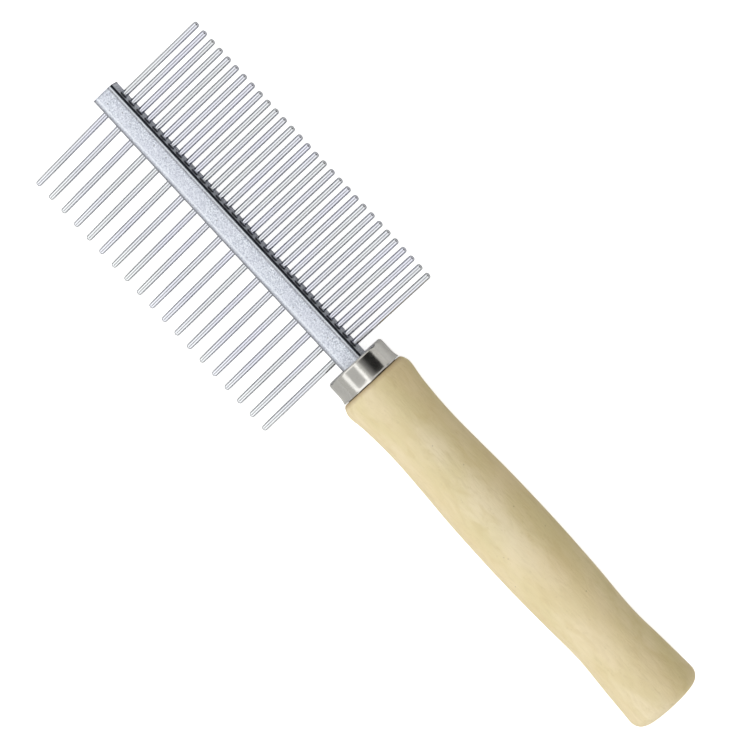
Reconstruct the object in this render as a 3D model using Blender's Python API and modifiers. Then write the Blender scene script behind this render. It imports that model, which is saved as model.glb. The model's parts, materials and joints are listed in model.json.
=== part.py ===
"""Double-sided steel grooming comb with a turned wooden handle.

The comb's own frame has its X axis on the centre line of spine and handle, with x = 0 at the
ferrule's front face, the head towards -X, the fine teeth towards +Y and the front face at +Z.
One empty lays the finished comb down on its handle and its coarse tooth tips, on the plane
z = 0, with the origin under the middle of its bounding box.
"""

import math
from collections import namedtuple

import bmesh
import bpy
from mathutils import Matrix, Vector

MM = 0.001
OBJECT_NAME = "grooming_comb"

# Lengths along the comb
OVERALL_LENGTH = 209.6 * MM
SPINE_LENGTH = 91.9 * MM
FERRULE_LENGTH = 6.5 * MM
FERRULE_TO_WOOD_GAP = 0.25 * MM

# Spine: one strip of sheet folded into a square tube, with its seam at a front corner, where the
# front face's bend stops part way round
SPINE_SIDE = 6.4 * MM
SHEET = 0.8 * MM
BEND_RADIUS = 1.0 * MM
BEND_STEPS = 3
LIP_ANGLE = 45.0
LIP_STEPS = 2
SEAM_GAP = 0.15 * MM

# The spine's tail, from just before the ferrule: it tapers, so that it can be driven into the wood
TANG_SETBACK = 0.1 * MM
TANG_LENGTH = 25.0 * MM
TANG_TIP_SIDE = 6.0 * MM

# Core bar inside the spine, which holds the heads of both rows of teeth apart
CORE_WIDTH = 3.2 * MM
CORE_DEPTH = 4.3 * MM
CORE_EDGE = 0.3 * MM
CORE_SETBACK = 1.2 * MM

# Teeth: headed pins, pushed out through the spine from its inside
PIN_RADIUS = 0.85 * MM
PIN_DOME = 0.6 * MM
# how far up the dome its shoulder is, and how wide it is there, as shares of dome and radius
SHOULDER_HEIGHT = 0.72
SHOULDER_WIDTH = 0.66
PIN_SIDES = 10
HEAD_RADIUS = 1.15 * MM
HEAD_THICKNESS = 0.6 * MM
HEAD_CLEARANCE = 0.1 * MM
HOLE_RADIUS = 0.92 * MM
# how many teeth a row has, the first one's distance from the head end, their pitch, their reach
# from the comb's centre line, the side they stand on and their lean towards the handle
Row = namedtuple("Row", "count first pitch reach side lean")
ROWS = {
    "fine_tooth": Row(30, 3.9 * MM, 2.92 * MM, 30.1 * MM, 1, 0.0),
    "coarse_tooth": Row(19, 4.3 * MM, 4.68 * MM, 30.4 * MM, -1, math.radians(1.0)),
}

# Ferrule: a drawn cup, with a square slot for the spine in its end wall
FERRULE_RADIUS = 8.8 * MM
FERRULE_WALL = 0.6 * MM
FERRULE_EDGE = 0.8 * MM
SLOT_CLEARANCE = 0.25 * MM
# distance from the front face, and radius, from where the skirt starts to flare
FERRULE_FLARE = [
    (4.0 * MM, FERRULE_RADIUS),
    (5.25 * MM, 8.92 * MM),
    (FERRULE_LENGTH, 9.2 * MM),
]

# Handle: turned wood, with a spigot inside the ferrule and a square mortise for the tang
SPIGOT_CLEARANCE = 0.3 * MM
MORTISE_CLEARANCE = 0.3 * MM
BUTT_EDGE = 3.2 * MM
BUTT_CROWN = 0.5 * MM
BUTT_FLAT_RADIUS = 3.3 * MM
HANDLE_MAX_RADIUS = 10.45 * MM
# distance from the wood's front edge, and radius
HANDLE_OUTLINE = [
    (0.0 * MM, 9.2 * MM),
    (0.9 * MM, 9.95 * MM),
    (3.2 * MM, HANDLE_MAX_RADIUS),
    (8.4 * MM, 9.78 * MM),
    (18.5 * MM, 9.33 * MM),
    (29.5 * MM, 9.66 * MM),
    (41.0 * MM, 10.14 * MM),
    (57.0 * MM, 10.3 * MM),
    (72.0 * MM, 9.96 * MM),
    (86.0 * MM, 9.34 * MM),
    (97.0 * MM, 9.92 * MM),
    (106.6 * MM, HANDLE_MAX_RADIUS),
]
OUTLINE_STEPS = 2

# how far a cutter runs past the wall that it cuts
CUT_MARGIN = 0.4 * MM
TURNED_STEPS = 36
ARC_STEPS = 4
MERGE = 0.00001
SMOOTH_ANGLE = math.radians(35)

# Worked out from the sizes above
WOOD_START = FERRULE_LENGTH + FERRULE_TO_WOOD_GAP
BUTT_END = OVERALL_LENGTH - SPINE_LENGTH
SPIGOT_START = FERRULE_WALL + SPIGOT_CLEARANCE
TANG_END = WOOD_START + TANG_LENGTH
COARSE_TIP_CENTRE = ROWS["coarse_tooth"].reach - PIN_RADIUS
REST_ANGLE = math.asin((HANDLE_MAX_RADIUS - PIN_RADIUS) / COARSE_TIP_CENTRE)

# colour, roughness, metallic
FINISHES = {
    "plated_sheet": ((0.62, 0.64, 0.67, 1.0), 0.42, 1.0),
    "polished_wire": ((0.72, 0.73, 0.75, 1.0), 0.18, 1.0),
    "core_steel": ((0.35, 0.36, 0.38, 1.0), 0.55, 1.0),
    "nickel": ((0.70, 0.68, 0.64, 1.0), 0.12, 1.0),
    "pale_wood": ((0.76, 0.64, 0.42, 1.0), 0.62, 0.0),
}


def clear_scene():
    for obj in list(bpy.data.objects):
        bpy.data.objects.remove(obj, do_unlink=True)


def make_collection(name):
    collection = bpy.data.collections.new(name)
    bpy.context.scene.collection.children.link(collection)
    return collection


def make_material(name):
    colour, roughness, metallic = FINISHES[name]
    material = bpy.data.materials.new(name)
    material.use_nodes = True
    shader = material.node_tree.nodes["Principled BSDF"]
    shader.inputs["Base Color"].default_value = colour
    shader.inputs["Roughness"].default_value = roughness
    shader.inputs["Metallic"].default_value = metallic
    return material


def add_object(name, mesh, collection, material=None):
    obj = bpy.data.objects.new(name, mesh)
    collection.objects.link(obj)
    if material and not mesh.materials:
        mesh.materials.append(material)
    return obj


def path_mesh(name, points):
    """A mesh of edges only, along the points in order."""
    mesh = bpy.data.meshes.new(name)
    edges = [(i, i + 1) for i in range(len(points) - 1)]
    mesh.from_pydata(points, edges, [])
    return mesh


def profile_mesh(name, profile):
    """A turned piece's half profile, from (distance down the axis, radius) pairs."""
    return path_mesh(name, [(radius, 0.0, -distance) for distance, radius in profile])


def add_screw(obj, steps):
    screw = obj.modifiers.new("turn", "SCREW")
    screw.steps = steps
    screw.render_steps = steps
    screw.use_merge_vertices = True
    screw.merge_threshold = MERGE
    screw.use_smooth_shade = True


def add_cut(obj, cutter):
    cut = obj.modifiers.new("cut", "BOOLEAN")
    cut.operation = "DIFFERENCE"
    cut.solver = "EXACT"
    cut.object = cutter


def hide_cutter(obj):
    obj.hide_render = True
    obj.display_type = "WIRE"


def smooth(mesh):
    mesh.shade_smooth()
    mesh.set_sharp_from_angle(angle=SMOOTH_ANGLE)


def arc(centre, radius, start, end, steps):
    """Points of a round corner in a plane, from one angle in degrees to another."""
    points = []
    for i in range(steps + 1):
        angle = math.radians(start + (end - start) * i / steps)
        points.append((centre[0] + radius * math.cos(angle), centre[1] + radius * math.sin(angle)))
    return points


def spline(points, steps):
    """Points on a Catmull-Rom curve through the given points."""
    ends = [points[0]] + points + [points[-1]]
    smooth_points = []
    for a, b, c, d in zip(ends, ends[1:], ends[2:], ends[3:]):
        for i in range(steps):
            t = i / steps
            smooth_points.append(
                tuple(
                    0.5
                    * (
                        2 * q
                        + (r - p) * t
                        + (2 * p - 5 * q + 4 * r - s) * t**2
                        + (3 * q - p - 3 * r + s) * t**3
                    )
                    for p, q, r, s in zip(a, b, c, d)
                )
            )
    return smooth_points + [points[-1]]


def box_mesh(name, size, centre, edge=0.0):
    """A box of the given size, with its edges chamfered if an edge width is given."""
    shape = bmesh.new()
    bmesh.ops.create_cube(shape, size=1.0)
    bmesh.ops.scale(shape, vec=size, verts=shape.verts)
    bmesh.ops.translate(shape, vec=centre, verts=shape.verts)
    if edge:
        bmesh.ops.bevel(
            shape, geom=list(shape.edges), offset=edge, segments=1, affect="EDGES", profile=0.5
        )
    mesh = bpy.data.meshes.new(name)
    shape.to_mesh(mesh)
    shape.free()
    return mesh


def tooth_places(row):
    """The point where each tooth of a row crosses the comb's centre line, and its rotation."""
    rotation = (-row.side * math.pi / 2, 0.0, -row.side * row.lean)
    return [
        (Vector((-SPINE_LENGTH + row.first + row.pitch * i, 0.0, 0.0)), rotation)
        for i in range(row.count)
    ]


def tooth_profile(reach):
    """Rounded tip, straight shank and the head under the web, from the tip downwards."""
    web_inside = SPINE_SIDE / 2 - SHEET
    head_top = web_inside - HEAD_CLEARANCE
    dome_start = reach - PIN_DOME
    shoulder = dome_start + PIN_DOME * SHOULDER_HEIGHT
    return [
        (-reach, 0.0),
        (-shoulder, PIN_RADIUS * SHOULDER_WIDTH),
        (-dome_start, PIN_RADIUS),
        (-head_top, PIN_RADIUS),
        (-head_top, HEAD_RADIUS),
        (-head_top + HEAD_THICKNESS, HEAD_RADIUS),
        (-head_top + HEAD_THICKNESS, 0.0),
    ]


def make_teeth(parts, material):
    for name, row in ROWS.items():
        mesh = profile_mesh(name, tooth_profile(row.reach))
        for number, (place, rotation) in enumerate(tooth_places(row), start=1):
            tooth = add_object(f"{name}_{number:02d}", mesh, parts, material)
            tooth.location = place
            tooth.rotation_euler = rotation
            add_screw(tooth, PIN_SIDES)


def make_hole_cutter(cutters):
    """One rod for every tooth hole, each through one web only."""
    shape = bmesh.new()
    start = SPINE_SIDE / 2 - SHEET - CUT_MARGIN
    depth = SHEET + 2 * CUT_MARGIN
    for row in ROWS.values():
        for place, rotation in tooth_places(row):
            turn = Matrix.Rotation(rotation[2], 4, "Z") @ Matrix.Rotation(rotation[0], 4, "X")
            middle = Matrix.Translation((0.0, 0.0, start + depth / 2))
            bmesh.ops.create_cone(
                shape,
                cap_ends=True,
                segments=PIN_SIDES,
                radius1=HOLE_RADIUS,
                radius2=HOLE_RADIUS,
                depth=depth,
                matrix=Matrix.Translation(place) @ turn @ middle,
            )
    mesh = bpy.data.meshes.new("tooth_holes")
    shape.to_mesh(mesh)
    shape.free()
    cutter = add_object("tooth_holes", mesh, cutters)
    hide_cutter(cutter)
    return cutter


def spine_section():
    """The folded strip's outer line as (y, z), from the web's edge round to the front lip."""
    half = SPINE_SIDE / 2
    inner = half - BEND_RADIUS
    points = [(half, inner - SEAM_GAP)]
    points += arc((inner, -inner), BEND_RADIUS, 0, -90, BEND_STEPS)
    points += arc((-inner, -inner), BEND_RADIUS, -90, -180, BEND_STEPS)
    points += arc((-inner, inner), BEND_RADIUS, 180, 90, BEND_STEPS)
    points += arc((inner, inner), BEND_RADIUS, 90, LIP_ANGLE, LIP_STEPS)
    return points


def make_spine(parts, cutters, material):
    """The folded tube. Its tail runs on as the tapered tang inside the handle."""
    section = spine_section()
    count = len(section)
    stations = [(-SPINE_LENGTH, 1.0), (-TANG_SETBACK, 1.0), (TANG_END, TANG_TIP_SIDE / SPINE_SIDE)]
    points = [(x, y * size, z * size) for x, size in stations for y, z in section]
    faces = []
    for start in (0, count):
        for i in range(start, start + count - 1):
            faces.append((i + count, i + 1 + count, i + 1, i))
    mesh = bpy.data.meshes.new("spine_channel")
    mesh.from_pydata(points, [], faces)
    smooth(mesh)
    spine = add_object("spine_channel", mesh, parts, material)
    wall = spine.modifiers.new("sheet", "SOLIDIFY")
    wall.thickness = SHEET
    wall.offset = -1.0
    wall.use_even_offset = True
    wall.use_rim = True
    add_cut(spine, make_hole_cutter(cutters))


def make_core(parts, material):
    start = -SPINE_LENGTH + CORE_SETBACK
    end = TANG_END - CORE_SETBACK
    size = (end - start, CORE_WIDTH, CORE_DEPTH)
    mesh = box_mesh("core_bar", size, ((start + end) / 2, 0.0, 0.0), CORE_EDGE)
    add_object("core_bar", mesh, parts, material)


def lay_along_comb(obj):
    """Turns a piece made about its own Z so that its top looks towards the head."""
    obj.rotation_euler = (0.0, -math.pi / 2, 0.0)


def ferrule_profile():
    """The cup's outside from its end wall to its skirt, then its inside back to the wall."""
    rim = arc(
        (FERRULE_EDGE, FERRULE_RADIUS - FERRULE_EDGE), FERRULE_EDGE, 180, 90, ARC_STEPS
    )
    flare = spline(FERRULE_FLARE, OUTLINE_STEPS)
    inside = [(x, radius - FERRULE_WALL) for x, radius in reversed(flare)]
    corner = (FERRULE_WALL, FERRULE_RADIUS - FERRULE_WALL)
    return [(0.0, 0.0)] + rim + flare + inside + [corner, (FERRULE_WALL, 0.0)]


def make_ferrule(parts, cutters, material):
    ferrule = add_object("ferrule", profile_mesh("ferrule", ferrule_profile()), parts, material)
    lay_along_comb(ferrule)
    add_screw(ferrule, TURNED_STEPS)
    depth = FERRULE_WALL + 2 * CUT_MARGIN
    side = SPINE_SIDE + 2 * SLOT_CLEARANCE
    slot_mesh = box_mesh("ferrule_slot", (depth, side, side), (FERRULE_WALL / 2, 0.0, 0.0))
    slot = add_object("ferrule_slot", slot_mesh, cutters)
    hide_cutter(slot)
    add_cut(ferrule, slot)


def handle_profile():
    """Spigot, shoulder, turned grip, then the rounded butt."""
    spigot = FERRULE_RADIUS - FERRULE_WALL - SPIGOT_CLEARANCE
    grip = [(WOOD_START + x, radius) for x, radius in HANDLE_OUTLINE]
    butt_centre = (BUTT_END - BUTT_CROWN - BUTT_EDGE, HANDLE_MAX_RADIUS - BUTT_EDGE)
    butt = arc(butt_centre, BUTT_EDGE, 90, 0, ARC_STEPS)
    return (
        [(SPIGOT_START, 0.0), (SPIGOT_START, spigot), (WOOD_START, spigot)]
        + spline(grip, OUTLINE_STEPS)
        + butt
        + [(BUTT_END, BUTT_FLAT_RADIUS), (BUTT_END, 0.0)]
    )


def make_handle(parts, cutters, material):
    handle = add_object("handle", profile_mesh("handle", handle_profile()), parts, material)
    lay_along_comb(handle)
    add_screw(handle, TURNED_STEPS)
    depth = TANG_END + MORTISE_CLEARANCE
    side = SPINE_SIDE + 2 * MORTISE_CLEARANCE
    mortise_mesh = box_mesh("mortise", (depth, side, side), (depth / 2, 0.0, 0.0))
    mortise = add_object("mortise", mortise_mesh, cutters)
    hide_cutter(mortise)
    add_cut(handle, mortise)


def rest_on_table(objects, collection):
    """Rolls the comb on its round handle until the coarse tips touch the plane z = 0."""
    lie = bpy.data.objects.new("comb_at_rest", None)
    collection.objects.link(lie)
    longer = ROWS["coarse_tooth"].reach - ROWS["fine_tooth"].reach
    sideways = longer / 2 * math.cos(REST_ANGLE)
    lie.location = ((SPINE_LENGTH - BUTT_END) / 2, sideways, HANDLE_MAX_RADIUS)
    lie.rotation_euler = (REST_ANGLE, 0.0, 0.0)
    for obj in objects:
        obj.parent = lie


def main():
    clear_scene()
    parts = make_collection(OBJECT_NAME)
    cutters = make_collection(f"{OBJECT_NAME}_cutters")
    materials = {name: make_material(name) for name in FINISHES}
    make_spine(parts, cutters, materials["plated_sheet"])
    make_core(parts, materials["core_steel"])
    make_teeth(parts, materials["polished_wire"])
    make_ferrule(parts, cutters, materials["nickel"])
    make_handle(parts, cutters, materials["pale_wood"])
    rest_on_table(list(parts.objects) + list(cutters.objects), parts)


main()
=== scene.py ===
import json
import math

import bmesh
import bpy
from mathutils import Matrix, Vector


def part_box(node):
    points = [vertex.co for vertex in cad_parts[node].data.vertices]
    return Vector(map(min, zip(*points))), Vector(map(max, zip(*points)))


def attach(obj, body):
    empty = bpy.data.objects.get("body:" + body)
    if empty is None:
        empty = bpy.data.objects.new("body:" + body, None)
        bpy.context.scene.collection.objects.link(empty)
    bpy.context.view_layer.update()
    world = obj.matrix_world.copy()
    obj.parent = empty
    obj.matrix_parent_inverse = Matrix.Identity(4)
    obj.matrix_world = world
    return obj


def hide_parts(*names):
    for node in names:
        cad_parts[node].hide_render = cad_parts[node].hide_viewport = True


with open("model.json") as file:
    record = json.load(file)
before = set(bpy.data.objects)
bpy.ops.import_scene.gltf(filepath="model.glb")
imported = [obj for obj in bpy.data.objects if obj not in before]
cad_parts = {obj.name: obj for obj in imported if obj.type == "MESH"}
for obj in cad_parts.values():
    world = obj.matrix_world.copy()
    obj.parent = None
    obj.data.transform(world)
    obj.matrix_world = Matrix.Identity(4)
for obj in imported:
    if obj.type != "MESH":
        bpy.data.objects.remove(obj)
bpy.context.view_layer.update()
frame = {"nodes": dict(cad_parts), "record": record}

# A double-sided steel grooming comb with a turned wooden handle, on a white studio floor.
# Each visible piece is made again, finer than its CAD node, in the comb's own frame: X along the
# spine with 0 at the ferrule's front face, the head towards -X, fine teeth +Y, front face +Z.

MM = 0.001

# Spine: a strip of sheet folded into a square tube, with its seam at a front corner, where the
# front face's bend stops part way round
SPINE_SIDE = 6.4 * MM
SHEET = 0.8 * MM
BEND_RADIUS = 1.0 * MM
BEND_STEPS = 10
LIP_ANGLE = 45
LIP_STEPS = 5
SEAM_GAP = 0.15 * MM
SHEARED_EDGE = 0.12 * MM
EDGE_STEPS = 3
HEAD_END_ROUND = 0.26 * MM
# The tang's taper starts this far in front of the ferrule's front face
TANG_SETBACK = 0.1 * MM
TANG_TIP_SIDE = 6.0 * MM

# Core bar inside the spine
CORE_WIDTH = 3.2 * MM
CORE_DEPTH = 4.3 * MM
CORE_EDGE = 0.3 * MM

# Teeth: headed pins, and the punched holes that they stand in
PIN_RADIUS = 0.85 * MM
PIN_SIDES = 32
HEAD_RADIUS = 1.15 * MM
HEAD_THICKNESS = 0.6 * MM
HEAD_EDGE = 0.1 * MM
HOLE_RADIUS = 0.92 * MM
HOLE_SIDES = 32
HOLE_ROLL_WIDTH = 0.26 * MM
HOLE_ROLL_DEPTH = 0.16 * MM
HOLE_ROLL_STEPS = 4
NARROWING_STEPS = 4
DOME_STEPS = 9
# How much of a CAD tooth's end is read to find its tip, and how far short of it the pin stops
TIP_BAND = 0.3 * MM
TIP_CLEARANCE = 0.09 * MM
# A row's tip radius, the length over which the wire narrows to it, the dome's height, and the
# power of its curve: 2 is an ellipse, and more is blunter
TIPS = {
    "fine_tooth": (0.84 * MM, 3.0 * MM, 0.6 * MM, 2.5),
    "coarse_tooth": (0.78 * MM, 7.0 * MM, 0.66 * MM, 2.1),
}

# Ferrule: a drawn cup, with a square slot for the spine in its end wall
FERRULE_LENGTH = 6.5 * MM
FERRULE_RADIUS = 8.8 * MM
FERRULE_WALL = 0.6 * MM
FERRULE_EDGE = 0.8 * MM
FERRULE_FLARE = [
    (3.7 * MM, FERRULE_RADIUS),
    (4.7 * MM, 8.83 * MM),
    (5.3 * MM, 8.91 * MM),
    (5.8 * MM, 9.01 * MM),
    (6.15 * MM, 9.1 * MM),
    (6.35 * MM, 9.185 * MM),
    (FERRULE_LENGTH, 9.2 * MM),
]
SLOT_SIDE = 6.9 * MM
SLOT_CORNER = 0.5 * MM

# Handle: turned wood with a spigot inside the ferrule and a square mortise for the tang
WOOD_START = 6.75 * MM
SPIGOT_START = 0.9 * MM
SPIGOT_RADIUS = 7.9 * MM
MORTISE_SIDE = 7.0 * MM
MORTISE_CORNER = 0.3 * MM
MORTISE_END = 32.05 * MM
HANDLE_MAX_RADIUS = 10.45 * MM
HANDLE_OUTLINE = [
    (0.0 * MM, 9.2 * MM),
    (0.9 * MM, 9.95 * MM),
    (3.2 * MM, HANDLE_MAX_RADIUS),
    (8.4 * MM, 9.78 * MM),
    (18.5 * MM, 9.33 * MM),
    (29.5 * MM, 9.66 * MM),
    (41.0 * MM, 10.14 * MM),
    (57.0 * MM, 10.3 * MM),
    (72.0 * MM, 9.96 * MM),
    (86.0 * MM, 9.34 * MM),
    (97.0 * MM, 9.92 * MM),
    (106.6 * MM, HANDLE_MAX_RADIUS),
]
BUTT_EDGE = 3.2 * MM
BUTT_CROWN = 0.5 * MM
BUTT_ARC_END = 8.0
BUTT_STEPS = 12
# The crown's rings, as shares of the radius at which the butt's rounded edge ends
CROWN_RINGS = (0.85, 0.7, 0.55, 0.4, 0.25, 0.1)
# The deepest that turning leaves the wood under its outline, and how its waves run: the lengths
# for one radian of each, and the angle by which the first one is turned
TURNING_DEPTH = 0.06 * MM
TURNING_WAVES = (9.0 * MM, 31.0 * MM, 17.0 * MM)
TURNING_PHASE = 1.0

OUTLINE_STEPS = 10
TURNED_SIDES = 144
# The lowest cosine used at a sharp corner when an outline is moved inwards
MITRE_LIMIT = 0.5
SMOOTH_ANGLE = math.radians(40)
MERGE_DISTANCE = 0.001 * MM

# Painted light and shade on the spine, in millimetres in the comb's frame. A pair says where
# it starts and where it is full, and a band its start, its end and the distance over which it
# fades outside them.
# Painted light: the front face grows lighter towards -Y, where the key light falls
PAINTED_LIGHT_ACROSS_FACE = (2.0, -2.0)
# Bands across the spine painted darker as shade, each with its own share: the bend beside the
# coarse web, the start of the seam's bend, and the fine web
PAINTED_SHADE_BANDS = (
    (-3.3, -2.5, 0.5, 0.5),
    (2.25, 2.42, 0.3, 0.47),
    (2.9, 3.3, 0.15, 0.25),
)
# A thin band of painted shade on the head end's rounded edge, measured from there
HEAD_END_SHADE = (0.5, 0.3)
# Painted highlights: the lip at the seam, by its y and its z, and the front face's other edge
LIP_BAND = (2.68, 2.95, 0.18)
LIP_HEIGHT = (2.4, 2.6)
COARSE_EDGE_BAND = (-1.85, -1.7, 0.2)
# The seam's y and z, and how far its painted shade reaches from there
SEAM_CENTRE = (3.03, 2.36)
SEAM_REACH = (0.54, 0.4)
# The painted shade round a fine tooth's foot is a spot, set towards the seam: how far it
# reaches, and the factor and shift that turn z into the spot's own height
FOOT_REACH = (1.2, 0.92)
FOOT_SQUASH = 0.8
FOOT_SHIFT = -0.45
FOOT_ROW_FADE = 0.1
FINE_WEB = SPINE_SIDE / 2 / MM
FINE_WEB_SIDE = (FINE_WEB - 0.9, FINE_WEB - 0.5)

# Tone on the teeth and at the handle's front, and painted shade on one side of the ferrule
# and of the handle, as the same kind of pairs
RUBBED_TEETH = (-20.0, -28.0)
FERRULE_SHADED_SIDE = (4.0, -2.5)
WOOD_SHADED_SIDE = (2.5, 8.0)
HANDLE_FRONT = (WOOD_START / MM + 1.2, WOOD_START / MM + 0.1)

# Specks: how much of a spot is solid, and how sharply the cells with a spot are chosen
SPECK_CORE = 0.4
SPECK_CHOICE = 0.01

# Colours, as red, green, blue and alpha in linear light
WHITE = (1.0, 1.0, 1.0, 1.0)
ZINC_DARK = (0.33, 0.36, 0.44, 1.0)
ZINC_LIGHT = (0.89, 0.93, 1.0, 1.0)
ZINC_CLOUD = (0.64, 0.65, 0.75, 1.0)
ZINC_PIT = (0.09, 0.09, 0.1, 1.0)
ZINC_PAINTED_LIGHT = (0.85, 0.89, 0.99, 1.0)
ZINC_PAINTED_SHADE = (0.05, 0.05, 0.06, 1.0)
ZINC_PAINTED_HIGHLIGHT = (0.91, 0.95, 1.0, 1.0)
SEAM_AND_FEET_SHADE = (0.012, 0.014, 0.02, 1.0)
WIRE_GREY = (0.58, 0.6, 0.625, 1.0)
WIRE_BLUE = (0.57, 0.58, 0.66, 1.0)
WIRE_LINES = (0.45, 0.455, 0.48, 1.0)
WIRE_RUBBED = (0.8, 0.82, 0.83, 1.0)
WIRE_PAINTED_EDGE_SHADE = (0.18, 0.19, 0.22, 1.0)
NICKEL_LIGHT = (0.605, 0.595, 0.57, 1.0)
NICKEL_DARK = (0.565, 0.555, 0.53, 1.0)
NICKEL_PAINTED_SHADE = (0.28, 0.28, 0.26, 1.0)
NICKEL_PIT = (0.12, 0.11, 0.1, 1.0)
WOOD_DARK = (0.725, 0.63, 0.375, 1.0)
WOOD_LIGHT = (0.805, 0.7, 0.48, 1.0)
WOOD_PATCH = (0.67, 0.555, 0.3, 1.0)
WOOD_WARM = (0.79, 0.65, 0.405, 1.0)
WOOD_RIPPLE = (0.5, 0.4, 0.22, 1.0)
WOOD_LINE = (0.45, 0.36, 0.18, 1.0)
WOOD_PAINTED_SHADE = (0.915, 0.885, 0.8, 1.0)
WOOD_FIBRE = (0.54, 0.44, 0.26, 1.0)
WOOD_FLECK = (0.36, 0.26, 0.14, 1.0)
WOOD_DOT = (0.12, 0.08, 0.05, 1.0)
WOOD_FRONT = (0.33, 0.2, 0.09, 1.0)
STEEL_SCALE = (0.1, 0.1, 0.11, 1.0)
STEEL_WORN = (0.24, 0.24, 0.25, 1.0)

# Camera: nearly straight above the comb, turned about its own axis, with a long studio lens
CAMERA_YAW = math.radians(0.94)
CAMERA_TURN = math.radians(47.3)
CAMERA_DISTANCE = 917.7 * MM
CAMERA_AIM = (6.1 * MM, 1.55 * MM)
CAMERA_CLIP = (0.05, 200.0)
LENS = 175.5
SENSOR = 36.0

# Studio: angles lean from the vertical towards +Y, and brightness is radiance. The key lies in
# front of the world's even light, which shows through it.
WORLD_COLOUR = (1.0, 0.99, 0.955)
WORLD_RADIANCE = 0.8
FLOOR_SIDE = 60.0
FLOOR_ALBEDO = 0.88
FLOOR_GLOW = 0.7
KEY_LEAN = math.radians(-33)
KEY_DISTANCE = 1.3
KEY_LENGTH = 3.86
KEY_DEPTH = 1.62
KEY_RADIANCE = 1.02
KEY_COLOUR = (0.985, 0.995, 1.0)
CARD_LEAN = math.radians(-30.5)
CARD_DISTANCE = 1.2
CARD_LENGTH = 1.06
CARD_DEPTH = 0.85
CARD_ALBEDO = 0.92
FLAG_LEAN = math.radians(36.5)
FLAG_DISTANCE = 1.0
FLAG_LENGTH = 1.04
FLAG_DEPTH = 1.086
FLAG_GREY_START = 0.06
FLAG_GREY = 0.45
FLAG_BLACK = 0.02
MATT_ROUGHNESS = 0.9
MATT_SPECULAR = 0.2


# ---------------------------------------------------------------- shapes


def comb_frame():
    """The comb's own frame, as a matrix in the model's frame."""
    front = next(m for m in frame["record"]["mounts"] if m["name"] == "spine_front_face")
    low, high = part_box("handle")
    x_axis = Vector((1.0, 0.0, 0.0))
    z_axis = Vector(front["axis"]).normalized()
    y_axis = z_axis.cross(x_axis)
    turn = Matrix((x_axis, y_axis, z_axis)).transposed().to_4x4()
    origin = Vector((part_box("ferrule")[0].x, (low.y + high.y) / 2, (low.z + high.z) / 2))
    return Matrix.Translation(origin) @ turn


COMB = comb_frame()
INTO_COMB = COMB.inverted()
SPINE_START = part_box("spine_channel")[0].x - COMB.translation.x
TANG_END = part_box("spine_channel")[1].x - COMB.translation.x
TEETH = [node for node in sorted(frame["nodes"]) if "_tooth_" in node]
BUTT_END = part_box("handle")[1].x - COMB.translation.x


def arc(centre, radius, start, end, steps):
    """Points of a round corner in a plane, from one angle in degrees to another."""
    points = []
    for i in range(steps + 1):
        angle = math.radians(start + (end - start) * i / steps)
        points.append((centre[0] + radius * math.cos(angle), centre[1] + radius * math.sin(angle)))
    return points


def spline(points, steps):
    """Points on a Catmull-Rom curve through the given points."""
    ends = [points[0]] + points + [points[-1]]
    curve = []
    for a, b, c, d in zip(ends, ends[1:], ends[2:], ends[3:]):
        for i in range(steps):
            t = i / steps
            curve.append(tuple(catmull_rom(p, q, r, s, t) for p, q, r, s in zip(a, b, c, d)))
    return curve + [points[-1]]


def catmull_rom(p, q, r, s, t):
    """The value a share t of the way from q to r, on the curve through all four."""
    square = 2 * p - 5 * q + 4 * r - s
    cube = 3 * q - p - 3 * r + s
    return 0.5 * (2 * q + (r - p) * t + square * t**2 + cube * t**3)


def mesh_of(name, shape):
    """A mesh with its faces outward, whether it is a solid or a ring."""
    bmesh.ops.recalc_face_normals(shape, faces=shape.faces)
    if shape.calc_volume(signed=True) < 0:
        bmesh.ops.reverse_faces(shape, faces=shape.faces)
    mesh = bpy.data.meshes.new(name)
    shape.to_mesh(mesh)
    shape.free()
    return mesh


def add_loft(shape, loops, closed=False):
    """Quads between loops of equally many points, joined end to end or closed by end faces."""
    rows = [[shape.verts.new(point) for point in loop] for loop in loops]
    pairs = list(zip(rows, rows[1:]))
    if closed:
        pairs.append((rows[-1], rows[0]))
    else:
        shape.faces.new(rows[0])
        shape.faces.new(rows[-1])
    for first, second in pairs:
        for i in range(len(first)):
            j = (i + 1) % len(first)
            shape.faces.new((first[i], first[j], second[j], second[i]))


def loft(name, loops, closed=False):
    """A mesh of its own from loops, as add_loft joins them."""
    shape = bmesh.new()
    add_loft(shape, loops, closed)
    return mesh_of(name, shape)


def circle(x, radius, sides=TURNED_SIDES):
    """A loop round the comb's X axis."""
    angles = [2 * math.pi * i / sides for i in range(sides)]
    return [Vector((x, radius * math.cos(a), radius * math.sin(a))) for a in angles]


def rounded_square(x, half, corner, sides=TURNED_SIDES):
    """A square loop round the comb's X axis, with its points at a circle's angles."""
    loop = []
    for i in range(sides):
        angle = 2 * math.pi * i / sides
        folded = abs((angle + math.pi / 4) % (math.pi / 2) - math.pi / 4)
        radius = half / math.cos(folded)
        if half * math.tan(folded) > half - corner:
            centre = half - corner
            across = centre * (math.cos(folded) + math.sin(folded))
            radius = across + math.sqrt(across**2 - 2 * centre**2 + corner**2)
        loop.append(Vector((x, radius * math.cos(angle), radius * math.sin(angle))))
    return loop


def inset(section, distance):
    """A closed outline in a plane, moved inwards by a distance."""
    moved = []
    count = len(section)
    for i in range(count):
        before, here, after = (Vector(section[k % count]) for k in (i - 1, i, i + 1))
        first = (here - before).normalized()
        second = (after - here).normalized()
        normal = Vector((-first.y - second.y, first.x + second.x)).normalized()
        stretch = max(MITRE_LIMIT, normal.dot(Vector((-first.y, first.x))))
        moved.append(tuple(here + normal * distance / stretch))
    return moved


# ---------------------------------------------------------------- pieces


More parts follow.
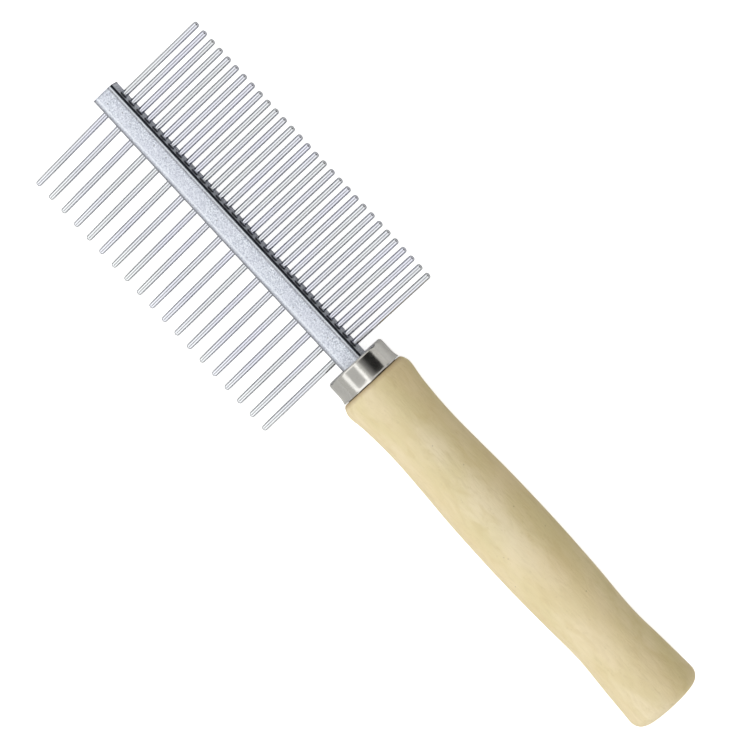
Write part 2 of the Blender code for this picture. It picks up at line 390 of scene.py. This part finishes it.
def finish_mesh(obj):
    """Applies a piece's modifiers, merges stray points, and shades it smooth between edges."""
    graph = bpy.context.evaluated_depsgraph_get()
    mesh = bpy.data.meshes.new_from_object(obj.evaluated_get(graph))
    shape = bmesh.new()
    shape.from_mesh(mesh)
    bmesh.ops.remove_doubles(shape, verts=shape.verts, dist=MERGE_DISTANCE)
    bmesh.ops.dissolve_degenerate(shape, edges=shape.edges, dist=MERGE_DISTANCE)
    shape.to_mesh(mesh)
    shape.free()
    obj.modifiers.clear()
    obj.data = mesh
    mesh.shade_smooth()
    mesh.set_sharp_from_angle(angle=SMOOTH_ANGLE)
    weighted = obj.modifiers.new("flat faces stay flat", "WEIGHTED_NORMAL")
    weighted.keep_sharp = True


def add_piece(name, mesh, material, slot, *nodes):
    """A visible piece, made in the comb's frame, that stands for CAD nodes."""
    mesh.transform(COMB)
    mesh.materials.append(material)
    obj = bpy.data.objects.new(name, mesh)
    bpy.context.scene.collection.objects.link(obj)
    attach(obj, "root")
    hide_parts(*nodes)
    return obj


def spine_section():
    """The folded sheet's whole outline as (y, z), round its outside and back round its inside."""
    half = SPINE_SIDE / 2
    bend = half - BEND_RADIUS
    corners = [
        ((bend, -bend), 0, -90, BEND_STEPS),
        ((-bend, -bend), -90, -180, BEND_STEPS),
        ((-bend, bend), 180, 90, BEND_STEPS),
        ((bend, bend), 90, LIP_ANGLE, LIP_STEPS),
    ]
    outside, inside = [], []
    for centre, start, end, steps in corners:
        outside += arc(centre, BEND_RADIUS, start, end, steps)
        inside += arc(centre, BEND_RADIUS - SHEET, start, end, steps)
    web_top = bend - SEAM_GAP
    web = [(half - SHEET, web_top), (half, web_top)]
    outline = web + outside + inside[::-1]
    lip_corner = len(web + outside)
    return rounded(outline, (0, 1, lip_corner - 1, lip_corner), SHEARED_EDGE)


def rounded(outline, corners, radius):
    """The outline with a small round in place of each corner listed by its index."""
    result = []
    for i, here in enumerate(outline):
        if i not in corners:
            result.append(here)
            continue
        corner = Vector(here)
        before = (Vector(outline[i - 1]) - corner).normalized() * radius
        after = (Vector(outline[(i + 1) % len(outline)]) - corner).normalized() * radius
        for step in range(EDGE_STEPS + 1):
            t = step / EDGE_STEPS
            point = corner + before * (1 - t) ** 2 + after * t**2
            result.append((point.x, point.y))
    return result


def spine_loops():
    """The section along the spine, with its end at the head slightly rounded."""
    section = spine_section()
    loops = []
    for i in range(EDGE_STEPS + 1):
        angle = math.pi / 2 * i / EDGE_STEPS
        x = SPINE_START + HEAD_END_ROUND * (1 - math.sin(angle))
        narrower = inset(section, HEAD_END_ROUND * (1 - math.cos(angle)))
        loops.insert(0, [Vector((x, y, z)) for y, z in narrower])
    loops.append([Vector((-TANG_SETBACK, y, z)) for y, z in section])
    taper = TANG_TIP_SIDE / SPINE_SIDE
    loops.append([Vector((TANG_END, y * taper, z * taper)) for y, z in section])
    return loops


def tooth_line(node):
    """Where a CAD tooth starts, at its head, and ends, at its tip, in the comb's frame."""
    points = [INTO_COMB @ v.co for v in frame["nodes"][node].data.vertices]
    near = min(abs(p.y) for p in points)
    far = max(abs(p.y) for p in points)
    foot = centre_of([p for p in points if abs(p.y) < near + HEAD_EDGE])
    end = centre_of([p for p in points if abs(p.y) > far - TIP_BAND])
    way = (end - foot).normalized()
    return foot, foot + way * ((far - abs(foot.y)) / abs(way.y) - TIP_CLEARANCE)


def centre_of(points):
    """The mean of some points."""
    return sum(points, Vector()) / len(points)


def along(start, end):
    """The matrix that lays a piece made along its own X on the line from start to end."""
    turn = (end - start).to_track_quat("X", "Z").to_matrix().to_4x4()
    return Matrix.Translation(start) @ turn


def tooth_profile(row, length):
    """Head, straight wire, then the narrowing and the domed tip, as (distance, radius)."""
    tip_radius, narrowing, dome, power = TIPS[row]
    edge = arc((HEAD_EDGE, HEAD_RADIUS - HEAD_EDGE), HEAD_EDGE, 180, 90, EDGE_STEPS)
    top = arc((HEAD_THICKNESS - HEAD_EDGE, HEAD_RADIUS - HEAD_EDGE), HEAD_EDGE, 90, 0, EDGE_STEPS)
    profile = edge + top + [(HEAD_THICKNESS, PIN_RADIUS)]
    start = length - dome - narrowing
    for i in range(NARROWING_STEPS):
        share = i / NARROWING_STEPS
        eased = share * share * (3 - 2 * share)
        profile.append((start + share * narrowing, PIN_RADIUS + (tip_radius - PIN_RADIUS) * eased))
    for i in range(DOME_STEPS):
        angle = math.pi / 2 * i / DOME_STEPS
        up = math.sin(angle) ** (2 / power)
        out = math.cos(angle) ** (2 / power)
        profile.append((length - dome + dome * up, tip_radius * out))
    return profile


def make_tooth(node, material):
    """A pin in place of one CAD tooth, on the same line."""
    row = node.rsplit("_", 1)[0]
    foot, tip = tooth_line(node)
    place = along(foot, tip)
    profile = tooth_profile(row, (tip - foot).length)
    loops = [[place @ p for p in circle(x, radius, PIN_SIDES)] for x, radius in profile]
    tooth = add_piece(f"wire_{node}", loft(node, loops), material, "polished_wire", node)
    finish_mesh(tooth)


def make_hole_cutter():
    """One body for every tooth's hole, with the punch's rounded edge where it meets the web."""
    shape = bmesh.new()
    for node in TEETH:
        foot, tip = tooth_line(node)
        place = along(foot, tip)
        surface = (SPINE_SIDE / 2 - abs(foot.y)) / abs((tip - foot).normalized().y)
        profile = [(surface - 2 * SHEET, HOLE_RADIUS)]
        for i in range(HOLE_ROLL_STEPS + 1):
            angle = math.pi / 2 * i / HOLE_ROLL_STEPS
            depth = HOLE_ROLL_DEPTH * (1 - math.sin(angle))
            wider = HOLE_ROLL_WIDTH * (1 - math.cos(angle))
            profile.append((surface - depth, HOLE_RADIUS + wider))
        profile.append((surface + SHEET, HOLE_RADIUS + HOLE_ROLL_WIDTH))
        loops = [[place @ p for p in circle(x, radius, HOLE_SIDES)] for x, radius in profile]
        add_loft(shape, loops)
    cutter = bpy.data.objects.new("hole_cutter", mesh_of("hole_cutter", shape))
    cutter.data.transform(COMB)
    bpy.context.scene.collection.objects.link(cutter)
    return cutter


def make_spine(material):
    """The folded tube, with a hole in its web for every tooth."""
    folded = loft("folded_spine", spine_loops())
    spine = add_piece("folded_spine", folded, material, "plated_sheet", "spine_channel")
    cutter = make_hole_cutter()
    cut = spine.modifiers.new("holes", "BOOLEAN")
    cut.operation = "DIFFERENCE"
    cut.solver = "EXACT"
    cut.object = cutter
    finish_mesh(spine)
    bpy.data.objects.remove(cutter)


def make_core(material):
    """The bar inside the spine, with its long edges rounded and its ends slightly smaller."""
    low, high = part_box("core_bar")
    first, last = low.x - COMB.translation.x, high.x - COMB.translation.x
    side, front = CORE_WIDTH / 2 - CORE_EDGE, CORE_DEPTH / 2 - CORE_EDGE
    corners = [
        ((side, front), 0),
        ((-side, front), 90),
        ((-side, -front), 180),
        ((side, -front), 270),
    ]
    section = []
    for centre, start in corners:
        section += arc(centre, CORE_EDGE, start, start + 90, EDGE_STEPS)
    loops = []
    for x, smaller in (
        (first, SHEARED_EDGE),
        (first + SHEARED_EDGE, 0.0),
        (last - SHEARED_EDGE, 0.0),
        (last, SHEARED_EDGE),
    ):
        loops.append([Vector((x, y, z)) for y, z in inset(section, smaller)])
    core = add_piece("inner_bar", loft("inner_bar", loops), material, "core_steel", "core_bar")
    finish_mesh(core)


def ferrule_profile():
    """From the cup's end wall, round its outside, and back inside it, as (distance, radius)."""
    rim_centre = (FERRULE_EDGE, FERRULE_RADIUS - FERRULE_EDGE)
    rim = arc(rim_centre, FERRULE_EDGE, 180, 90, BEND_STEPS)
    inner_rim = arc(rim_centre, FERRULE_EDGE - FERRULE_WALL, 90, 180, EDGE_STEPS)
    flare = spline(FERRULE_FLARE, OUTLINE_STEPS)
    inside = [(x, radius - FERRULE_WALL) for x, radius in reversed(flare)]
    lip_middle = flare[-1][1] - FERRULE_WALL / 2
    lip = [
        (FERRULE_LENGTH - SHEARED_EDGE, flare[-2][1]),
        (FERRULE_LENGTH, lip_middle + SHEARED_EDGE),
        (FERRULE_LENGTH, lip_middle - SHEARED_EDGE),
    ]
    return rim + flare[:-2] + lip + inside[2:] + inner_rim


def make_ferrule(material):
    """The drawn cup, as a ring that closes at the slot in its end wall."""
    half = SLOT_SIDE / 2
    loops = [
        rounded_square(SHEARED_EDGE, half, SLOT_CORNER),
        rounded_square(0.0, half + SHEARED_EDGE, SLOT_CORNER),
    ]
    loops += [circle(x, radius) for x, radius in ferrule_profile()]
    loops.append(rounded_square(FERRULE_WALL, half, SLOT_CORNER))
    cup = loft("nickel_ferrule", loops, closed=True)
    ferrule = add_piece("nickel_ferrule", cup, material, "nickel", "ferrule")
    finish_mesh(ferrule)


def handle_profile():
    """The turned outline from the ferrule to the butt, as (distance, radius)."""
    grip = [(WOOD_START + x, radius) for x, radius in HANDLE_OUTLINE]
    edge_centre = (BUTT_END - BUTT_CROWN - BUTT_EDGE, HANDLE_MAX_RADIUS - BUTT_EDGE)
    butt = arc(edge_centre, BUTT_EDGE, 90, BUTT_ARC_END, BUTT_STEPS)
    edge_x, edge_radius = butt[-1]
    crown = [(BUTT_END - (BUTT_END - edge_x) * ring**2, edge_radius * ring) for ring in CROWN_RINGS]
    return spline(grip, OUTLINE_STEPS) + butt + crown


def hand_turned(x, radius):
    """A turned loop with the slight unevenness that turning and sanding leave."""
    loop = circle(x, radius)
    ring_length, twist_length, flat_length = TURNING_WAVES
    for i, point in enumerate(loop):
        angle = 2 * math.pi * i / len(loop)
        rings = math.sin(x / ring_length + math.sin(angle + TURNING_PHASE))
        flats = math.sin(2 * angle + x / twist_length) * math.sin(x / flat_length)
        depth = TURNING_DEPTH * (2 + rings + flats) / 4
        shrink = 1 - depth / HANDLE_MAX_RADIUS
        point.y *= shrink
        point.z *= shrink
    return loop


def make_handle(material):
    """The turned wood, from the mortise's far end, out round the spigot, to the butt."""
    half = MORTISE_SIDE / 2
    loops = [
        rounded_square(MORTISE_END, half, MORTISE_CORNER),
        rounded_square(SPIGOT_START, half, MORTISE_CORNER),
        circle(SPIGOT_START, SPIGOT_RADIUS - SHEARED_EDGE),
        circle(SPIGOT_START + SHEARED_EDGE, SPIGOT_RADIUS),
        circle(WOOD_START, SPIGOT_RADIUS),
    ]
    loops += [hand_turned(x, radius) for x, radius in handle_profile()]
    turned = loft("turned_handle", loops)
    handle = add_piece("turned_handle", turned, material, "pale_wood", "handle")
    finish_mesh(handle)


# ---------------------------------------------------------------- materials


class Finish:
    """One material's node tree, with short calls for the nodes that the finishes share."""

    def __init__(self, name, settings):
        self.material = bpy.data.materials.new(name)
        self.material.use_nodes = True
        self.tree = self.material.node_tree
        self.shader = self.tree.nodes["Principled BSDF"]
        for socket, value in settings.items():
            self.shader.inputs[socket].default_value = value

    def add(self, kind, **settings):
        """A new node with its own settings."""
        node = self.tree.nodes.new(kind)
        for name, value in settings.items():
            setattr(node, name, value)
        return node

    def feed(self, socket, value):
        """Links a socket to the node that gives its value, or sets a plain value."""
        if isinstance(value, bpy.types.NodeSocket):
            self.tree.links.new(value, socket)
        else:
            socket.default_value = value

    def place(self, x=1.0, y=1.0, z=1.0):
        """Coordinates in the comb's own frame, in millimetres, drawn out along each axis."""
        mapping = self.add("ShaderNodeMapping", vector_type="TEXTURE")
        mapping.inputs["Location"].default_value = COMB.translation
        mapping.inputs["Rotation"].default_value = COMB.to_euler()
        mapping.inputs["Scale"].default_value = (MM * x, MM * y, MM * z)
        self.feed(mapping.inputs["Vector"], self.add("ShaderNodeTexCoord").outputs["Object"])
        return mapping.outputs["Vector"]

    def axis(self, place, name):
        """One of a place's three coordinates."""
        node = self.add("ShaderNodeSeparateXYZ")
        self.feed(node.inputs["Vector"], place)
        return node.outputs[name]

    def noise(self, place, scale, detail=2.0, roughness=0.5, distortion=0.0):
        """Smooth noise from 0 to 1, mostly near a half."""
        node = self.add("ShaderNodeTexNoise")
        self.feed(node.inputs["Vector"], place)
        node.inputs["Scale"].default_value = scale
        node.inputs["Detail"].default_value = detail
        node.inputs["Roughness"].default_value = roughness
        node.inputs["Distortion"].default_value = distortion
        return node.outputs["Fac"]

    def cells(self, place, scale):
        """Distance to the nearest of many scattered points, and a random shade for each."""
        node = self.add("ShaderNodeTexVoronoi")
        self.feed(node.inputs["Vector"], place)
        node.inputs["Scale"].default_value = scale
        return node.outputs["Distance"], node.outputs["Color"]

    def specks(self, place, scale, size, rarity):
        """1 on a few small scattered spots, and 0 elsewhere."""
        distance, shade = self.cells(place, scale)
        spot = self.ramp(distance, size, size * SPECK_CORE)
        chosen = self.ramp(self.axis(shade, "X"), rarity, rarity + SPECK_CHOICE)
        return self.math("MULTIPLY", spot, chosen)

    def math(self, operation, *values):
        """The named operation on values or plain numbers."""
        node = self.add("ShaderNodeMath", operation=operation)
        for socket, value in zip(node.inputs, values):
            self.feed(socket, value)
        return node.outputs["Value"]

    def remap(self, value, low, high, to_low, to_high):
        """A value's range from low to high laid onto another range, and held at its ends."""
        node = self.add("ShaderNodeMapRange")
        self.feed(node.inputs["Value"], value)
        self.feed(node.inputs["From Min"], low)
        self.feed(node.inputs["From Max"], high)
        self.feed(node.inputs["To Min"], to_low)
        self.feed(node.inputs["To Max"], to_high)
        return node.outputs["Result"]

    def ramp(self, value, start, full, most=1.0):
        """0 until the value reaches its start, then rising to the most where it is full."""
        return self.remap(value, start, full, 0.0, most)

    def band(self, value, start, end, fade):
        """1 between two values, fading to 0 outside them."""
        rise = self.ramp(value, start - fade, start)
        return self.math("MULTIPLY", rise, self.ramp(value, end + fade, end))

    def distance(self, first, second):
        """How far two coordinates together are from zero."""
        squares = self.math("MULTIPLY_ADD", first, first, self.math("MULTIPLY", second, second))
        return self.math("SQRT", squares)

    def mix(self, share, first, second, blend="MIX"):
        """The first colour, with a share of the second mixed in or multiplied in."""
        node = self.add("ShaderNodeMix", data_type="RGBA", blend_type=blend)
        sockets = {s.identifier: s for s in node.inputs}
        self.feed(sockets["Factor_Float"], share)
        self.feed(sockets["A_Color"], first)
        self.feed(sockets["B_Color"], second)
        return next(s for s in node.outputs if s.identifier == "Result_Color")

    def coat(self, colour, *coats):
        """A colour with others over it in turn, each given as (share, colour)."""
        for share, over in coats:
            colour = self.mix(share, colour, over)
        return colour

    def bump(self, height, depth, below=None):
        """Relief of the given depth from a 0 to 1 height, on top of the relief below it."""
        node = self.add("ShaderNodeBump")
        node.inputs["Distance"].default_value = depth
        self.feed(node.inputs["Height"], height)
        if below is not None:
            self.feed(node.inputs["Normal"], below)
        return node.outputs["Normal"]

    def dent(self, spots, depth, below):
        """Relief with spots sunk into the surface."""
        return self.bump(self.remap(spots, 0.0, 1.0, to_low=1.0, to_high=0.0), depth, below)

    def paint(self, colour, roughness, normal):
        """Gives the shader its colour, roughness and relief, and returns the material."""
        self.feed(self.shader.inputs["Base Color"], colour)
        self.feed(self.shader.inputs["Roughness"], roughness)
        self.feed(self.shader.inputs["Normal"], normal)
        return self.material


def in_seam(finish, place):
    """1 in the seam between the front face's bend and the fine web's edge, where shade is painted.
    """
    across = finish.math("SUBTRACT", finish.axis(place, "Y"), SEAM_CENTRE[0])
    height = finish.math("SUBTRACT", finish.axis(place, "Z"), SEAM_CENTRE[1])
    return finish.ramp(finish.distance(across, height), *SEAM_REACH)


def round_feet(finish, place):
    """1 on the fine web round the foot of each tooth, mostly towards the seam, where shade is
    painted.
    """
    feet = [tooth_line(node)[0].x / MM for node in TEETH if node.startswith("fine")]
    first, last = min(feet), max(feet)
    half = (last - first) / (len(feet) - 1) / 2
    x = finish.axis(place, "X")
    near = finish.math("WRAP", x, first + half, first - half)
    near = finish.math("SUBTRACT", near, first)
    height = finish.math("MULTIPLY_ADD", finish.axis(place, "Z"), FOOT_SQUASH, FOOT_SHIFT)
    spot = finish.ramp(finish.distance(near, height), *FOOT_REACH)
    row = finish.band(x, first - half, last + half, FOOT_ROW_FADE)
    web = finish.ramp(finish.axis(place, "Y"), *FINE_WEB_SIDE)
    return finish.math("MULTIPLY", spot, finish.math("MULTIPLY", row, web))


def seam_lip(finish, place):
    """1 on the edge of the front face's bend, where it stops at the seam and a highlight is
    painted.
    """
    across = finish.band(finish.axis(place, "Y"), *LIP_BAND)
    return finish.math("MULTIPLY", across, finish.ramp(finish.axis(place, "Z"), *LIP_HEIGHT))


def spine_painted_light_and_shade(finish, place, lip):
    """Painted light, shade and highlights along the spine, as (share, colour)."""
    y = finish.axis(place, "Y")
    coats = [(finish.ramp(y, *PAINTED_LIGHT_ACROSS_FACE, most=0.3), ZINC_PAINTED_LIGHT)]
    # Painted shade: each band across the spine is darkened by its share
    for start, end, fade, share in PAINTED_SHADE_BANDS:
        darker = finish.math("MULTIPLY", finish.band(y, start, end, fade), share)
        coats.append((darker, ZINC_PAINTED_SHADE))
    # Painted shade on the rounded head end
    from_end = finish.math("SUBTRACT", finish.axis(place, "X"), SPINE_START / MM)
    coats.append((finish.ramp(from_end, *HEAD_END_SHADE, most=0.3), ZINC_PAINTED_SHADE))
    # Painted highlights on the seam's lip and on the front face's coarse edge
    coarse_edge = finish.math("MULTIPLY", finish.band(y, *COARSE_EDGE_BAND), 0.5)
    coats.append((finish.math("MAXIMUM", lip, coarse_edge), ZINC_PAINTED_HIGHLIGHT))
    return coats


def plated_sheet():
    """Zinc-plated sheet: satin, speckled and pitted, with painted shade in the seam and round its
    teeth.
    """
    finish = Finish("plated_sheet", {"Metallic": 1.0})
    place = finish.place()
    speckle = finish.noise(place, scale=2.6, detail=3.0, roughness=0.7)
    cloud = finish.noise(place, scale=0.16)
    grain = finish.noise(finish.place(x=8.0), scale=3.2)
    pits = finish.specks(place, scale=0.7, size=0.2, rarity=0.5)
    lip = seam_lip(finish, place)
    # Painted shade in the seam and round the fine teeth's feet
    painted_shade = finish.math("MAXIMUM", in_seam(finish, place), round_feet(finish, place))
    colour = finish.coat(
        finish.mix(finish.ramp(speckle, 0.36, 0.64), ZINC_DARK, ZINC_LIGHT),
        (finish.ramp(cloud, 0.35, 0.65, most=0.3), ZINC_CLOUD),
        (finish.math("MULTIPLY", pits, 0.75), ZINC_PIT),
        *spine_painted_light_and_shade(finish, place, lip),
        (finish.math("MULTIPLY", painted_shade, 0.93), SEAM_AND_FEET_SHADE),
    )
    satin = finish.remap(speckle, 0.25, 0.75, to_low=0.5, to_high=0.34)
    roughness = finish.math("MULTIPLY_ADD", lip, 0.35, satin)
    relief = finish.bump(speckle, 0.02 * MM)
    relief = finish.bump(grain, 0.006 * MM, relief)
    relief = finish.dent(pits, 0.03 * MM, relief)
    return finish.paint(colour, roughness, relief)


def polished_wire():
    """Drawn and plated wire: bright, with faint lengthwise lines and a slight blue cast."""
    # The specular tint is a painted shade that darkens the wire's reflection at its edges
    finish = Finish("polished_wire", {"Metallic": 1.0, "Specular Tint": WIRE_PAINTED_EDGE_SHADE})
    place = finish.place()
    drawn = finish.noise(finish.place(y=40.0), scale=5.0)
    cloud = finish.noise(finish.place(y=4.0), scale=0.22, detail=1.0)
    dust = finish.noise(place, scale=4.5)
    colour = finish.coat(
        finish.mix(finish.ramp(cloud, 0.38, 0.62), WIRE_GREY, WIRE_BLUE),
        (finish.ramp(drawn, 0.3, 0.7, most=0.3), WIRE_LINES),
        (finish.ramp(finish.axis(place, "Y"), *RUBBED_TEETH, most=0.3), WIRE_RUBBED),
    )
    lines = finish.remap(drawn, 0.3, 0.7, to_low=0.05, to_high=0.08)
    roughness = finish.math("ADD", lines, finish.ramp(dust, 0.4, 0.75, most=0.03))
    return finish.paint(colour, roughness, finish.bump(drawn, 0.002 * MM))


def nickel():
    """Bright nickel plate on a drawn cup: slightly wavy, with faint rings and dull spots."""
    finish = Finish("nickel", {"Metallic": 1.0})
    place = finish.place()
    wave = finish.noise(place, scale=0.28)
    rings = finish.noise(finish.place(y=60.0, z=60.0), scale=4.0)
    darker = finish.noise(place, scale=1.1, detail=3.0)
    pits = finish.specks(place, scale=0.7, size=0.1, rarity=0.8)
    colour = finish.coat(
        finish.mix(finish.ramp(darker, 0.35, 0.7), NICKEL_LIGHT, NICKEL_DARK),
        # Painted shade: the ferrule is darker towards -Y
        (finish.ramp(finish.axis(place, "Y"), *FERRULE_SHADED_SIDE, most=0.24), NICKEL_PAINTED_SHADE),
        (finish.math("MULTIPLY", pits, 0.6), NICKEL_PIT),
    )
    roughness = finish.remap(darker, 0.3, 0.75, to_low=0.15, to_high=0.2)
    relief = finish.bump(wave, 0.025 * MM)
    relief = finish.bump(rings, 0.001 * MM, relief)
    return finish.paint(colour, roughness, relief)


def wood_shades(finish):
    """The wood's large pale and dark shades, all longer than they are wide."""
    blotch = finish.noise(finish.place(x=1.8), scale=0.13, detail=3.0, roughness=0.55)
    patch = finish.noise(finish.place(x=2.2), scale=0.34, detail=4.0, roughness=0.6, distortion=0.6)
    tint = finish.noise(finish.place(x=3.0), scale=0.07)
    return finish.coat(
        finish.mix(finish.ramp(blotch, 0.38, 0.62), WOOD_DARK, WOOD_LIGHT),
        (finish.ramp(patch, 0.5, 0.66, most=0.5), WOOD_PATCH),
        (finish.ramp(tint, 0.4, 0.65, most=0.5), WOOD_WARM),
    )


def wood_colour(finish, fibre, ripple, torn, flecks):
    """The shades, under ripples and their outlines, then painted shade on +Y, fibres, flecks and
    dots.
    """
    place = finish.place()
    outline = finish.band(ripple, start=0.5, end=0.505, fade=0.008)
    outline = finish.math("MULTIPLY", outline, finish.ramp(torn, 0.48, 0.6))
    colour = finish.coat(
        wood_shades(finish),
        (finish.ramp(ripple, 0.58, 0.66, most=0.1), WOOD_RIPPLE),
        (finish.math("MULTIPLY", outline, 0.3), WOOD_LINE),
    )
    # Painted shade: the wood is darker and yellower towards +Y
    shaded_side = finish.ramp(finish.axis(place, "Y"), *WOOD_SHADED_SIDE)
    colour = finish.mix(shaded_side, colour, WOOD_PAINTED_SHADE, blend="MULTIPLY")
    cluster = finish.ramp(finish.noise(place, scale=0.14), 0.6, 0.63)
    dots = finish.math("MULTIPLY", cluster, finish.specks(place, scale=0.8, size=0.16, rarity=0.6))
    return finish.coat(
        colour,
        (finish.ramp(fibre, 0.45, 0.8, most=0.16), WOOD_FIBRE),
        (finish.math("MULTIPLY", flecks, 0.4), WOOD_FLECK),
        (finish.math("MULTIPLY", dots, 0.7), WOOD_DOT),
        (finish.ramp(finish.axis(place, "X"), *HANDLE_FRONT, most=0.55), WOOD_FRONT),
    )


def pale_wood():
    """Sanded, unvarnished pale wood with its fibres along the handle."""
    finish = Finish("pale_wood", {"Specular IOR Level": 0.3})
    fibre = finish.noise(finish.place(x=28.0), scale=2.4, detail=4.0, roughness=0.6)
    ripple = finish.noise(finish.place(x=3.5), scale=0.7, detail=3.0, distortion=1.2)
    torn = finish.noise(finish.place(x=5.0), scale=0.9, detail=3.0, roughness=0.7)
    uneven = finish.noise(finish.place(x=2.0), scale=0.21, detail=3.0)
    flecks = finish.specks(finish.place(x=7.0), scale=0.36, size=0.13, rarity=0.72)
    colour = wood_colour(finish, fibre, ripple, torn, flecks)
    roughness = finish.remap(fibre, 0.3, 0.7, to_low=0.52, to_high=0.7)
    relief = finish.bump(fibre, 0.02 * MM)
    relief = finish.bump(torn, 0.08 * MM, relief)
    patchy = finish.math("MULTIPLY", ripple, finish.ramp(uneven, 0.46, 0.62))
    relief = finish.bump(patchy, 0.2 * MM, relief)
    relief = finish.dent(flecks, 0.03 * MM, relief)
    return finish.paint(colour, roughness, relief)


def core_steel():
    """Plain rolled bar: dark mill scale, worn to grey in places."""
    finish = Finish("core_steel", {"Metallic": 1.0})
    rolled = finish.noise(finish.place(x=12.0), scale=1.8, detail=3.0)
    scale = finish.noise(finish.place(), scale=0.9, detail=4.0, roughness=0.65)
    colour = finish.mix(finish.ramp(scale, 0.35, 0.65), STEEL_SCALE, STEEL_WORN)
    roughness = finish.remap(scale, 0.3, 0.7, to_low=0.65, to_high=0.42)
    return finish.paint(colour, roughness, finish.bump(rolled, 0.02 * MM))


# ---------------------------------------------------------------- studio


def stage_plane(finish, matrix, depth, length):
    """A flat rectangle that belongs to the studio and isn't part of the object."""
    name = finish.material.name
    shape = bmesh.new()
    corners = ((-1, -1), (1, -1), (1, 1), (-1, 1))
    shape.faces.new([shape.verts.new((x * depth / 2, y * length / 2, 0.0)) for x, y in corners])
    mesh = bpy.data.meshes.new(name)
    shape.to_mesh(mesh)
    shape.free()
    mesh.materials.append(finish.material)
    plane = bpy.data.objects.new(name, mesh)
    bpy.context.scene.collection.objects.link(plane)
    plane.matrix_world = matrix
    return plane


def matt(name, albedo):
    """A plain grey finish with hardly any shine."""
    settings = {
        "Base Color": (albedo, albedo, albedo, 1.0),
        "Roughness": MATT_ROUGHNESS,
        "Specular IOR Level": MATT_SPECULAR,
    }
    return Finish(name, settings)


def make_floor():
    """A white floor, which the camera sees as an overexposed one with hardly any shadow."""
    finish = matt("floor", FLOOR_ALBEDO)
    finish.shader.inputs["Emission Color"].default_value = WHITE
    path = finish.add("ShaderNodeLightPath")
    glow = finish.math("MULTIPLY", path.outputs["Is Camera Ray"], FLOOR_GLOW)
    finish.feed(finish.shader.inputs["Emission Strength"], glow)
    stage_plane(finish, Matrix.Identity(4), FLOOR_SIDE, FLOOR_SIDE)


def make_cards():
    """A pale card over the comb, and a flag on its far side, black but for a part turning grey."""
    card = matt("grey_card", CARD_ALBEDO)
    flag = matt("graded_flag", FLAG_BLACK)
    across = flag.axis(flag.add("ShaderNodeTexCoord").outputs["Object"], "X")
    grey = flag.remap(across, FLAG_GREY_START, FLAG_DEPTH / 2, FLAG_BLACK, FLAG_GREY)
    flag.feed(flag.shader.inputs["Base Color"], grey)
    for finish, place, depth, length in (
        (card, facing_comb(CARD_LEAN, CARD_DISTANCE), CARD_DEPTH, CARD_LENGTH),
        (flag, facing_comb(FLAG_LEAN, FLAG_DISTANCE), FLAG_DEPTH, FLAG_LENGTH),
    ):
        stage_plane(finish, place, depth, length).visible_camera = False


def facing_comb(lean, distance):
    """A place above the comb, leant from the vertical towards +Y, looking down at it."""
    away = Vector((0.0, math.sin(lean), math.cos(lean)))
    turn = (-away).to_track_quat("-Z", "X").to_matrix().to_4x4()
    aim = Vector((COMB.translation.x / 2, 0.0, COMB.translation.z))
    return Matrix.Translation(aim + away * distance) @ turn


def make_key():
    """A soft box whose brightness is given as the radiance of its face."""
    light = bpy.data.lights.new("key", "AREA")
    light.shape = "RECTANGLE"
    light.size = KEY_DEPTH
    light.size_y = KEY_LENGTH
    light.color = KEY_COLOUR
    light.energy = KEY_RADIANCE * math.pi * KEY_LENGTH * KEY_DEPTH
    obj = bpy.data.objects.new("key", light)
    bpy.context.scene.collection.objects.link(obj)
    obj.matrix_world = facing_comb(KEY_LEAN, KEY_DISTANCE)
    obj.visible_camera = False


def make_world():
    """Even light all round, which the camera sees as a white backdrop."""
    world = bpy.data.worlds.new("studio")
    bpy.context.scene.world = world
    world.use_nodes = True
    tree = world.node_tree
    around = tree.nodes["Background"]
    around.inputs["Color"].default_value = (*WORLD_COLOUR, 1.0)
    around.inputs["Strength"].default_value = WORLD_RADIANCE
    backdrop = tree.nodes.new("ShaderNodeBackground")
    backdrop.inputs["Color"].default_value = WHITE
    path = tree.nodes.new("ShaderNodeLightPath")
    chosen = tree.nodes.new("ShaderNodeMixShader")
    tree.links.new(path.outputs["Is Camera Ray"], chosen.inputs[0])
    tree.links.new(around.outputs[0], chosen.inputs[1])
    tree.links.new(backdrop.outputs[0], chosen.inputs[2])
    tree.links.new(chosen.outputs[0], tree.nodes["World Output"].inputs["Surface"])


def make_studio():
    """The light, floor and backdrop, with colours shown as they are."""
    bpy.context.scene.view_settings.view_transform = "Standard"
    make_world()
    make_floor()
    make_key()
    make_cards()


def camera_place():
    """Where the camera stands, above its aim on the comb and turned about its own axis."""
    yaw, turn = CAMERA_YAW, CAMERA_TURN
    along_axis = Vector((math.cos(yaw), 0.0, math.sin(yaw)))
    across = Vector((0.0, 1.0, 0.0))
    back = Vector((-math.sin(yaw), 0.0, math.cos(yaw)))
    aim = COMB.translation + along_axis * CAMERA_AIM[0] + across * CAMERA_AIM[1]
    right = math.cos(turn) * along_axis + math.sin(turn) * across
    up = -math.sin(turn) * along_axis + math.cos(turn) * across
    place = Matrix((right, up, back)).transposed().to_4x4()
    place.translation = aim + back * CAMERA_DISTANCE
    return place


def make_camera():
    data = bpy.data.cameras.new("camera")
    data.lens = LENS
    data.sensor_width = SENSOR
    data.clip_start, data.clip_end = CAMERA_CLIP
    camera = bpy.data.objects.new("camera", data)
    bpy.context.scene.collection.objects.link(camera)
    camera.matrix_world = camera_place()
    bpy.context.scene.camera = camera


def main():
    """Every piece of the comb, then the studio and the camera."""
    wire = polished_wire()
    for node in TEETH:
        make_tooth(node, wire)
    make_spine(plated_sheet())
    make_core(core_steel())
    make_ferrule(nickel())
    make_handle(pale_wood())
    make_studio()
    make_camera()


main()
